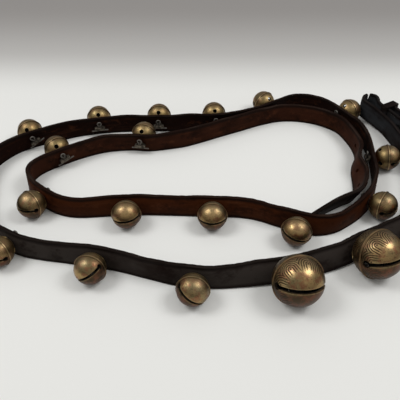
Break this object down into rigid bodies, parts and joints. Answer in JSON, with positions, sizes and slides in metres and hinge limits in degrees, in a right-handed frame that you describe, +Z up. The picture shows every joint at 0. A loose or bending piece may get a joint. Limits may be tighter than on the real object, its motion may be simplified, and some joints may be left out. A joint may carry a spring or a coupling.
{
  "type": "sleigh bell strap",
  "caption": "Leather sleigh strap standing on edge in a loose spiral, with cast brass crotal bells held by shanks and cotters, a bent-back buckle end and a punched tail",
  "frame": {"origin": "on the table under the middle of the object's box", "axes": "+X to the right along the long way of the spiral as pictured, +Y away from the viewer, +Z up"},
  "size_m": [0.5436, 0.3592, 0.0461],
  "materials": {
    "leather": "worn, oiled, dark on the outside and browner inside",
    "brass": "aged cast brass, dull brown patina with bright worn rims",
    "iron": "dull, lightly rusted",
    "japan": "black japanned iron, worn"
  },
  "bodies": {
    "strap": {"strap": "leather", "keeper": "leather"},
    "buckle": {"buckle_frame": "japan"},
    "tongue": {"buckle_tongue": "japan"},
    "bell_01": {"bell_01": "brass"},
    "bell_02": {"bell_02": "brass"},
    "bell_03": {"bell_03": "brass"},
    "bell_04": {"bell_04": "brass"},
    "bell_05": {"bell_05": "brass"},
    "bell_06": {"bell_06": "brass"},
    "bell_07": {"bell_07": "brass"},
    "bell_08": {"bell_08": "brass"},
    "bell_09": {"bell_09": "brass"},
    "bell_10": {"bell_10": "brass"},
    "bell_11": {"bell_11": "brass"},
    "bell_12": {"bell_12": "brass"},
    "bell_13": {"bell_13": "brass"},
    "bell_14": {"bell_14": "brass"},
    "bell_15": {"bell_15": "brass"},
    "bell_16": {"bell_16": "brass"},
    "bell_17": {"bell_17": "brass"},
    "bell_18": {"bell_18": "brass"},
    "bell_19": {"bell_19": "brass"},
    "bell_20": {"bell_20": "brass"},
    "bell_21": {"bell_21": "brass"},
    "pellet_01": {"pellet_01": "iron"},
    "pellet_02": {"pellet_02": "iron"},
    "pellet_03": {"pellet_03": "iron"},
    "pellet_04": {"pellet_04": "iron"},
    "pellet_05": {"pellet_05": "iron"},
    "pellet_06": {"pellet_06": "iron"},
    "pellet_07": {"pellet_07": "iron"},
    "pellet_08": {"pellet_08": "iron"},
    "pellet_09": {"pellet_09": "iron"},
    "pellet_10": {"pellet_10": "iron"},
    "pellet_11": {"pellet_11": "iron"},
    "pellet_12": {"pellet_12": "iron"},
    "pellet_13": {"pellet_13": "iron"},
    "pellet_14": {"pellet_14": "iron"},
    "pellet_15": {"pellet_15": "iron"},
    "pellet_16": {"pellet_16": "iron"},
    "pellet_17": {"pellet_17": "iron"},
    "pellet_18": {"pellet_18": "iron"},
    "pellet_19": {"pellet_19": "iron"},
    "pellet_20": {"pellet_20": "iron"},
    "pellet_21": {"pellet_21": "iron"}
  },
  "joints": [
    {"name": "buckle_swing", "type": "hinge", "parent": "strap", "child": "buckle", "pos_m": [0.25905, 0.10058, 0.019], "axis": [0, 0, 1], "range_deg": [0, 75]},
    {"name": "tongue_lift", "type": "hinge", "parent": "buckle", "child": "tongue", "pos_m": [0.25905, 0.10058, 0.019], "axis": [0, 0, 1], "range_deg": [0, 40]},
    {"name": "bell_01_swivel", "type": "hinge", "parent": "strap", "child": "bell_01", "pos_m": [0.22588, -0.0632, 0.01236], "axis": [0.6805, -0.5996, 0.4211], "range_deg": [-40, 40]},
    {"name": "bell_02_swivel", "type": "hinge", "parent": "strap", "child": "bell_02", "pos_m": [0.15576, -0.10558, 0.01236], "axis": [0.46, -0.7817, 0.4211], "range_deg": [-37, 43]},
    {"name": "bell_03_swivel", "type": "hinge", "parent": "strap", "child": "bell_03", "pos_m": [0.08431, -0.13396, 0.01236], "axis": [0.1863, -0.8877, 0.4211], "range_deg": [-35, 45]},
    {"name": "bell_04_swivel", "type": "hinge", "parent": "strap", "child": "bell_04", "pos_m": [-0.00087, -0.14348, 0.01286], "axis": [-0.1106, -0.9841, 0.1393], "range_deg": [-7, 73]},
    {"name": "bell_05_swivel", "type": "hinge", "parent": "strap", "child": "bell_05", "pos_m": [-0.09349, -0.11953, 0.01286], "axis": [-0.1974, -0.9704, 0.1393], "range_deg": [-75, 5]},
    {"name": "bell_06_swivel", "type": "hinge", "parent": "strap", "child": "bell_06", "pos_m": [-0.17935, -0.09992, 0.01286], "axis": [-0.4755, -0.8686, 0.1393], "range_deg": [-40, 40]},
    {"name": "bell_07_swivel", "type": "hinge", "parent": "strap", "child": "bell_07", "pos_m": [-0.24075, -0.01499, 0.01286], "axis": [-0.9723, -0.1875, 0.1393], "range_deg": [-40, 40]},
    {"name": "bell_08_swivel", "type": "hinge", "parent": "strap", "child": "bell_08", "pos_m": [-0.20391, 0.07831, 0.01286], "axis": [-0.5125, 0.8473, 0.1393], "range_deg": [-13, 67]},
    {"name": "bell_09_swivel", "type": "hinge", "parent": "strap", "child": "bell_09", "pos_m": [-0.12683, 0.10895, 0.01286], "axis": [-0.1835, 0.9731, 0.1393], "range_deg": [-40, 40]},
    {"name": "bell_10_swivel", "type": "hinge", "parent": "strap", "child": "bell_10", "pos_m": [-0.05042, 0.11437, 0.01286], "axis": [-0.0185, 0.9901, 0.1393], "range_deg": [-40, 40]},
    {"name": "bell_11_swivel", "type": "hinge", "parent": "strap", "child": "bell_11", "pos_m": [0.02357, 0.11861, 0.01286], "axis": [-0.0919, 0.986, 0.1393], "range_deg": [-40, 40]},
    {"name": "bell_12_swivel", "type": "hinge", "parent": "strap", "child": "bell_12", "pos_m": [0.10152, 0.15129, 0.01286], "axis": [-0.5899, 0.7954, 0.1393], "range_deg": [-40, 40]},
    {"name": "bell_13_swivel", "type": "hinge", "parent": "strap", "child": "bell_13", "pos_m": [0.18996, 0.13488, 0.01286], "axis": [0.8744, 0.4648, 0.1393], "range_deg": [-40, 40]},
    {"name": "bell_14_swivel", "type": "hinge", "parent": "strap", "child": "bell_14", "pos_m": [0.20785, 0.03788, 0.01286], "axis": [0.98, -0.1422, 0.1393], "range_deg": [-40, 40]},
    {"name": "bell_15_swivel", "type": "hinge", "parent": "strap", "child": "bell_15", "pos_m": [0.18218, -0.03907, 0.01286], "axis": [0.771, -0.6215, 0.1393], "range_deg": [-40, 40]},
    {"name": "bell_16_swivel", "type": "hinge", "parent": "strap", "child": "bell_16", "pos_m": [0.10493, -0.07208, 0.01286], "axis": [-0.3509, -0.926, 0.1393], "range_deg": [-28, 52]},
    {"name": "bell_17_swivel", "type": "hinge", "parent": "strap", "child": "bell_17", "pos_m": [0.01688, -0.04861, 0.01286], "axis": [-0.0387, -0.9895, 0.1393], "range_deg": [-42, 38]},
    {"name": "bell_18_swivel", "type": "hinge", "parent": "strap", "child": "bell_18", "pos_m": [-0.0732, -0.04617, 0.01286], "axis": [0.0543, -0.9888, 0.1393], "range_deg": [-48, 32]},
    {"name": "bell_19_swivel", "type": "hinge", "parent": "strap", "child": "bell_19", "pos_m": [-0.16309, -0.03442, 0.01286], "axis": [-0.6181, -0.7737, 0.1393], "range_deg": [-45, 35]},
    {"name": "bell_20_swivel", "type": "hinge", "parent": "strap", "child": "bell_20", "pos_m": [-0.16001, 0.04124, 0.01286], "axis": [-0.5798, 0.8028, 0.1393], "range_deg": [-23, 57]},
    {"name": "bell_21_swivel", "type": "hinge", "parent": "strap", "child": "bell_21", "pos_m": [-0.06943, 0.06971, 0.01286], "axis": [0.1496, 0.9789, 0.1393], "range_deg": [-40, 40]},
    {"name": "pellet_01_roll", "type": "hinge", "parent": "bell_01", "child": "pellet_01", "pos_m": [0.23993, -0.07558, 0.02105], "axis": [0.6805, -0.5996, 0.4211], "continuous": true},
    {"name": "pellet_02_roll", "type": "hinge", "parent": "bell_02", "child": "pellet_02", "pos_m": [0.1653, -0.12177, 0.02109], "axis": [0.46, -0.7817, 0.4211], "continuous": true},
    {"name": "pellet_03_roll", "type": "hinge", "parent": "bell_03", "child": "pellet_03", "pos_m": [0.08818, -0.1524, 0.02111], "axis": [0.1863, -0.8877, 0.4211], "continuous": true},
    {"name": "pellet_04_roll", "type": "hinge", "parent": "bell_04", "child": "pellet_04", "pos_m": [-0.00267, -0.15948, 0.01512], "axis": [-0.1106, -0.9841, 0.1393], "continuous": true},
    {"name": "pellet_05_roll", "type": "hinge", "parent": "bell_05", "child": "pellet_05", "pos_m": [-0.0967, -0.13531, 0.01512], "axis": [-0.1974, -0.9704, 0.1393], "continuous": true},
    {"name": "pellet_06_roll", "type": "hinge", "parent": "bell_06", "child": "pellet_06", "pos_m": [-0.18706, -0.114, 0.01511], "axis": [-0.4755, -0.8686, 0.1393], "continuous": true},
    {"name": "pellet_07_roll", "type": "hinge", "parent": "bell_07", "child": "pellet_07", "pos_m": [-0.25651, -0.01803, 0.01511], "axis": [-0.9723, -0.1875, 0.1393], "continuous": true},
    {"name": "pellet_08_roll", "type": "hinge", "parent": "bell_08", "child": "pellet_08", "pos_m": [-0.21226, 0.0921, 0.01512], "axis": [-0.5125, 0.8473, 0.1393], "continuous": true},
    {"name": "pellet_09_roll", "type": "hinge", "parent": "bell_09", "child": "pellet_09", "pos_m": [-0.1298, 0.12473, 0.01511], "axis": [-0.1835, 0.9731, 0.1393], "continuous": true},
    {"name": "pellet_10_roll", "type": "hinge", "parent": "bell_10", "child": "pellet_10", "pos_m": [-0.05072, 0.13042, 0.01511], "axis": [-0.0185, 0.9901, 0.1393], "continuous": true},
    {"name": "pellet_11_roll", "type": "hinge", "parent": "bell_11", "child": "pellet_11", "pos_m": [0.02208, 0.13459, 0.01511], "axis": [-0.0919, 0.986, 0.1393], "continuous": true},
    {"name": "pellet_12_roll", "type": "hinge", "parent": "bell_12", "child": "pellet_12", "pos_m": [0.09196, 0.16419, 0.01511], "axis": [-0.5899, 0.7954, 0.1393], "continuous": true},
    {"name": "pellet_13_roll", "type": "hinge", "parent": "bell_13", "child": "pellet_13", "pos_m": [0.20414, 0.14241, 0.01511], "axis": [0.8744, 0.4648, 0.1393], "continuous": true},
    {"name": "pellet_14_roll", "type": "hinge", "parent": "bell_14", "child": "pellet_14", "pos_m": [0.22373, 0.03558, 0.01511], "axis": [0.98, -0.1422, 0.1393], "continuous": true},
    {"name": "pellet_15_roll", "type": "hinge", "parent": "bell_15", "child": "pellet_15", "pos_m": [0.19468, -0.04915, 0.01511], "axis": [0.771, -0.6215, 0.1393], "continuous": true},
    {"name": "pellet_16_roll", "type": "hinge", "parent": "bell_16", "child": "pellet_16", "pos_m": [0.09922, -0.08715, 0.01512], "axis": [-0.3509, -0.926, 0.1393], "continuous": true},
    {"name": "pellet_17_roll", "type": "hinge", "parent": "bell_17", "child": "pellet_17", "pos_m": [0.01625, -0.06466, 0.01511], "axis": [-0.0387, -0.9895, 0.1393], "continuous": true},
    {"name": "pellet_18_roll", "type": "hinge", "parent": "bell_18", "child": "pellet_18", "pos_m": [-0.07231, -0.06224, 0.01512], "axis": [0.0543, -0.9888, 0.1393], "continuous": true},
    {"name": "pellet_19_roll", "type": "hinge", "parent": "bell_19", "child": "pellet_19", "pos_m": [-0.17313, -0.04699, 0.01512], "axis": [-0.6181, -0.7737, 0.1393], "continuous": true},
    {"name": "pellet_20_roll", "type": "hinge", "parent": "bell_20", "child": "pellet_20", "pos_m": [-0.16945, 0.0543, 0.01512], "axis": [-0.5798, 0.8028, 0.1393], "continuous": true},
    {"name": "pellet_21_roll", "type": "hinge", "parent": "bell_21", "child": "pellet_21", "pos_m": [-0.067, 0.08558, 0.01511], "axis": [0.1496, 0.9789, 0.1393], "continuous": true}
  ]
}
